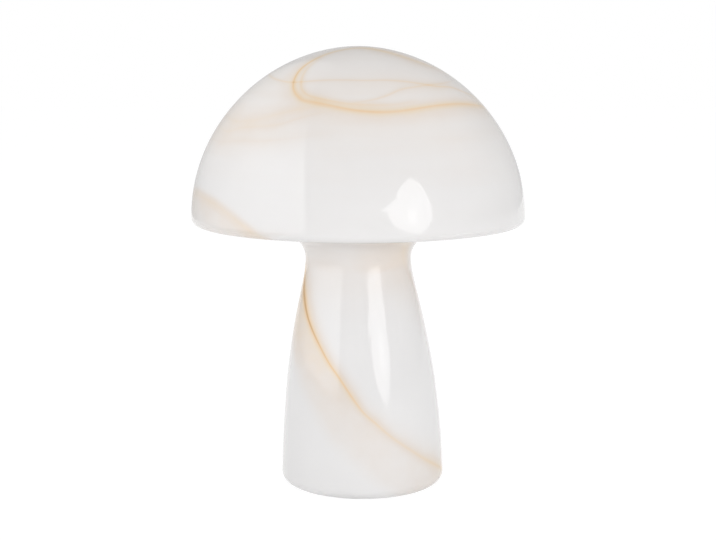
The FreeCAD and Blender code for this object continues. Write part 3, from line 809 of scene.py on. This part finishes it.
def ribTree():
    # a ring of upright ribs with tapered ends, half sunk in the wall that they stand on
    tree, given = startGroup("gripRibs", "GeometryNodeTree", {
        "Int": "count", "Float": "radius width low high", "Material": "material"}, "Geometry")
    ring = addNode(tree, "GeometryNodeMeshCircle", {
        "Vertices": given["count"], "Radius": given["radius"]})
    foot = addNode(tree, "CombineXYZ", {"Z": given["low"]})
    head = addNode(tree, "CombineXYZ", {"Z": given["high"]})
    line = addNode(tree, "GeometryNodeCurvePrimitiveLine", {"Start": foot, "End": head})
    fine = addNode(tree, "GeometryNodeResampleCurve", {"Curve": line, "Count": grip["pointsAlong"]})
    along = addNode(tree, "GeometryNodeSplineParameter")
    arch = addNode(tree, "Math", [along.outputs["Factor"], 0.5], operation="PINGPONG")
    ends = addNode(tree, "MapRange", [arch, 0.0, grip["tipShare"], grip["tipSize"], 1.0],
                   interpolation_type="SMOOTHSTEP")
    tapered = addNode(tree, "GeometryNodeSetCurveRadius", {"Curve": fine, "Radius": ends})
    half = addNode(tree, "Math", [given["width"], 0.5], operation="MULTIPLY")
    section = addNode(tree, "GeometryNodeCurvePrimitiveCircle", {
        "Resolution": grip["pointsRound"], "Radius": half})
    rib = addNode(tree, "GeometryNodeCurveToMesh", {
        "Curve": tapered, "Profile Curve": section, "Fill Caps": True})
    placed = addNode(tree, "GeometryNodeInstanceOnPoints", {"Points": ring, "Instance": rib})
    realized = addNode(tree, "GeometryNodeRealizeInstances", [placed])
    finished = addNode(tree, "GeometryNodeSetMaterial", {0: realized, "Material": given["material"]})
    addNode(tree, "NodeGroupOutput", [finished])
    return tree


def makeGripRibs():
    tree = ribTree()
    for name, (low, high) in grip["rows"].items():
        ribs = evaluated(name, tree, {
            "count": grip["count"], "radius": (grip["radius"] + grip["proud"] - grip["ribWidth"] / 2) * mm,
            "width": grip["ribWidth"] * mm, "low": low * mm, "high": high * mm,
            "material": materials["mouldedPbt"]})
        faceOutwards(ribs)
        ribs.data.shade_smooth()
        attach(ribs, "stand")
    print("grip ribs:", len(grip["rows"]), "rows of", grip["count"])


makeGripRibs()


stopScrew = {    # millimetres
    "radius": 1.5,
    "level": 103.5,
    "tip": 5.05,
    "head": 8.1,
    "chamfer": 0.3,
    "slotWidth": 0.5,
    "slotDepth": 0.7,
    "pitch": 0.5,
    "threadDepth": 0.18,
    "spacing": 0.1,
    "steps": 32,
}


def makeStopScrew():
    # grub screw along +X, made upright and then laid down
    radius, tip, head, chamfer = (stopScrew[key] for key in ("radius", "tip", "head", "chamfer"))
    side = linePoints([(radius, tip + chamfer), (radius, head - chamfer)], stopScrew["spacing"])
    profile = [(0, tip), (radius - chamfer, tip)] + side + [(radius - chamfer, head), (0, head)]
    width, deep = stopScrew["slotWidth"] / 2, head - stopScrew["slotDepth"]
    above, beside = head + 1, radius * 2
    corners = [(x * width * mm, y * beside * mm, z * mm)
               for x in (-1, 1) for y in (-1, 1) for z in (deep, above)]
    sides = [(0, 1, 3, 2), (4, 6, 7, 5), (0, 4, 5, 1), (2, 3, 7, 6), (0, 2, 6, 4), (1, 5, 7, 3)]
    cutter = plainMesh("slotCutter", corners, sides)
    faceOutwards(cutter)
    screw = turnedPiece(
        "stopScrew", profile, materials["zincPlatedSteel"], stopScrew["steps"], cutter,
        threadDepth=stopScrew["threadDepth"] * mm, threadPitch=stopScrew["pitch"] * mm,
        threadLow=tip * mm, threadHigh=head * mm)
    bpy.data.objects.remove(cutter)
    lift = Matrix.Translation((0, 0, stopScrew["level"] * mm))
    screw.data.transform(lift @ Matrix.Rotation(math.pi / 2, 4, "Y"))
    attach(screw, "stand")
    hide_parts("stop_screw")
    print("stop screw:", len(screw.data.polygons), "faces")


makeStopScrew()


studio = {
    "cameraPlace": (-0.00297, -0.950, 0.28835),
    "cameraPitch": 8.718,       # degrees below the horizon
    "lens": 72.43,
    "sensor": 36.0,
    "aim": (0, 0, 0.16),        # middle of the lamp, in metres
    "floorSize": 6.0,
    "worldLight": (0.72, 0.46),     # at the horizon and overhead
    "floorColour": "#F2F2F2",
    "floorGlow": 0.80,              # share of the floor's white that no shadow darkens
    "floorBright": 1.13,
    # name: azimuth from the front, elevation, distance, width, height in metres, watts
    "lamps": {
        "overhead": (0, 88, 1.4, 1.4, 1.4, 6.5),
        "sideLeft": (-75, 5, 1.5, 1.3, 0.7, 4.2),
        "sideRight": (54, 5, 1.5, 1.0, 0.7, 3.8),
        "frontLow": (4, 4, 1.7, 1.6, 0.6, 6.5)},
    # what the glass mirrors: distance, full and least brightness, where it fades towards the back and
    # where towards the top, and the corners as (azimuth, elevation)
    "panels": {
        "windowLeft": (1.40, 2.20, 0.66, (-0.3, 1.1), (0.8, 1.5), [
            (-34, -5), (-34, 6), (-37, 26), (-49, 48), (-70, 64), (-120, 66), (-165, 60), (-165, -5),
            (-120, -5), (-75, -5)]),
        "softboxRight": (1.30, 3.35, 0.66, (0, 1), (1, 2), [
            (37, 30), (43, 26), (46, 20), (48, 13), (48, 3), (44, -3), (38, -6), (30, -4), (22, 0),
            (19, 5), (19, 9), (14, 10), (19, 14), (25, 18), (26, 22), (30, 26)]),
        "softboxCentre": (1.25, 4.7, 0.66, (0, 1), (1, 2), [(32, 10), (38, 10), (38, 1), (32, 1)])},
    "tent": (3.2, 0.64, 0.42, (4, 5), (0.3, 2.0)),
    "tentFrom": -5,             # elevations
    "tentTo": 90,
    "tentRings": 12,
    "tentSteps": 36,
}


def heading(azimuth, elevation):
    # direction from the lamp, azimuth from the front towards the right
    a, e = math.radians(azimuth), math.radians(elevation)
    return Vector((math.sin(a) * math.cos(e), -math.cos(a) * math.cos(e), math.sin(e)))


def makeCamera():
    data = bpy.data.cameras.new("camera")
    data.sensor_width = studio["sensor"]
    data.lens = studio["lens"]
    camera = bpy.data.objects.new("camera", data)
    camera.location = studio["cameraPlace"]
    camera.rotation_euler = (math.radians(90 - studio["cameraPitch"]), 0, 0)
    scene.collection.objects.link(camera)
    scene.camera = camera


def seenDirectly(tree):
    # 1 for what the camera sees, also in a mirror or through glass
    path = addNode(tree, "LightPath").outputs
    seen = path["Is Camera Ray"]
    for kind in ("Is Glossy Ray", "Is Transmission Ray"):
        seen = addNode(tree, "Math", [seen, path[kind]], operation="MAXIMUM")
    return seen


def makeWorld():
    world = bpy.data.worlds.new("studioWorld")
    tree = emptyTree(world)
    white = linearColour("#FFFFFF")
    seen = addNode(tree, "Background", {"Color": white, "Strength": 1.0})
    direction = addNode(tree, "TexCoord").outputs["Generated"]
    height = addNode(tree, "SeparateXYZ", [direction])
    strength = addNode(tree, "MapRange", [height.outputs["Z"], 0.0, 1.0, *studio["worldLight"]])
    light = addNode(tree, "Background", {"Color": white, "Strength": strength})
    mix = addNode(tree, "MixShader", [seenDirectly(tree), light, seen])
    addNode(tree, "OutputWorld", [mix])
    scene.world = world


def makeFloor():
    size = studio["floorSize"]
    corners = [(-size, -size, 0), (size, -size, 0), (size, size, 0), (-size, size, 0)]
    floor = plainMesh("floor", corners, [(0, 1, 2, 3)])
    material = bpy.data.materials.new("paperSweep")
    tree = emptyTree(material)
    paper = addNode(tree, "BsdfDiffuse", {"Color": linearColour(studio["floorColour"])})
    glow = addNode(tree, "Emission", {
        "Color": linearColour("#FFFFFF"), "Strength": studio["floorBright"]})
    half = addNode(tree, "MixShader", [studio["floorGlow"], paper, glow])
    mix = addNode(tree, "MixShader", [seenDirectly(tree), paper, half])
    addNode(tree, "OutputMaterial", [mix])
    floor.data.materials.append(material)


def makeLamps():
    aim = Vector(studio["aim"])
    for name, (azimuth, elevation, distance, width, height, power) in studio["lamps"].items():
        data = bpy.data.lights.new(name, "AREA")
        data.shape = "RECTANGLE"
        data.size = width
        data.size_y = height
        data.energy = power
        lamp = bpy.data.objects.new(name, data)
        lamp.location = aim + heading(azimuth, elevation) * distance
        lamp.rotation_euler = heading(azimuth, elevation).to_track_quat("Z", "Y").to_euler()
        lamp.visible_camera = False
        lamp.visible_glossy = False
        scene.collection.objects.link(lamp)


def onlyMirrored(piece, bright, dim, back, top):
    # a panel that the glass mirrors and nothing else sees, fading towards the back and the top
    material = bpy.data.materials.new(piece.name)
    tree = emptyTree(material)
    place = addNode(tree, "TexCoord").outputs["Object"]
    along = addNode(tree, "SeparateXYZ", [place])
    fades = [addNode(tree, "MapRange", [along.outputs[axis], *span, 1.0, 0.0],
                     interpolation_type="SMOOTHSTEP") for axis, span in (("Y", back), ("Z", top))]
    share = addNode(tree, "Math", fades, operation="MULTIPLY")
    strength = addNode(tree, "MapRange", [share, 0.0, 1.0, dim, bright])
    glow = addNode(tree, "Emission", {"Color": linearColour("#FFFFFF"), "Strength": strength})
    addNode(tree, "OutputMaterial", [glow])
    piece.data.materials.append(material)
    for kind in ("camera", "diffuse", "transmission", "shadow", "volume_scatter"):
        setattr(piece, "visible_" + kind, False)


def makeReflections():
    aim = Vector(studio["aim"])
    for name, (distance, bright, dim, back, top, corners) in studio["panels"].items():
        rim = [heading(azimuth, elevation) * distance for azimuth, elevation in corners]
        middle = sum(rim, Vector()).normalized() * distance
        faces = [(0, i + 1, (i + 1) % len(rim) + 1) for i in range(len(rim))]
        panel = plainMesh(name, [aim + point for point in [middle] + rim], faces)
        onlyMirrored(panel, bright, dim, back, top)
    distance, bright, dim, back, top = studio["tent"]
    low, high, rings, steps = (studio[key] for key in ("tentFrom", "tentTo", "tentRings", "tentSteps"))
    vertices = [aim + heading(360 * i / steps, low + (high - low) * j / rings) * distance
                for j in range(rings + 1) for i in range(steps)]
    faces = []
    for j in range(rings):
        for i in range(steps):
            beside = (i + 1) % steps
            ring, nextRing = j * steps, (j + 1) * steps
            faces.append((ring + i, ring + beside, nextRing + beside, nextRing + i))
    onlyMirrored(plainMesh("greyTent", vertices, faces), bright, dim, back, top)


makeCamera()
makeWorld()
makeFloor()
makeLamps()
makeReflections()
scene.view_settings.view_transform = "Standard"
print("studio ready")
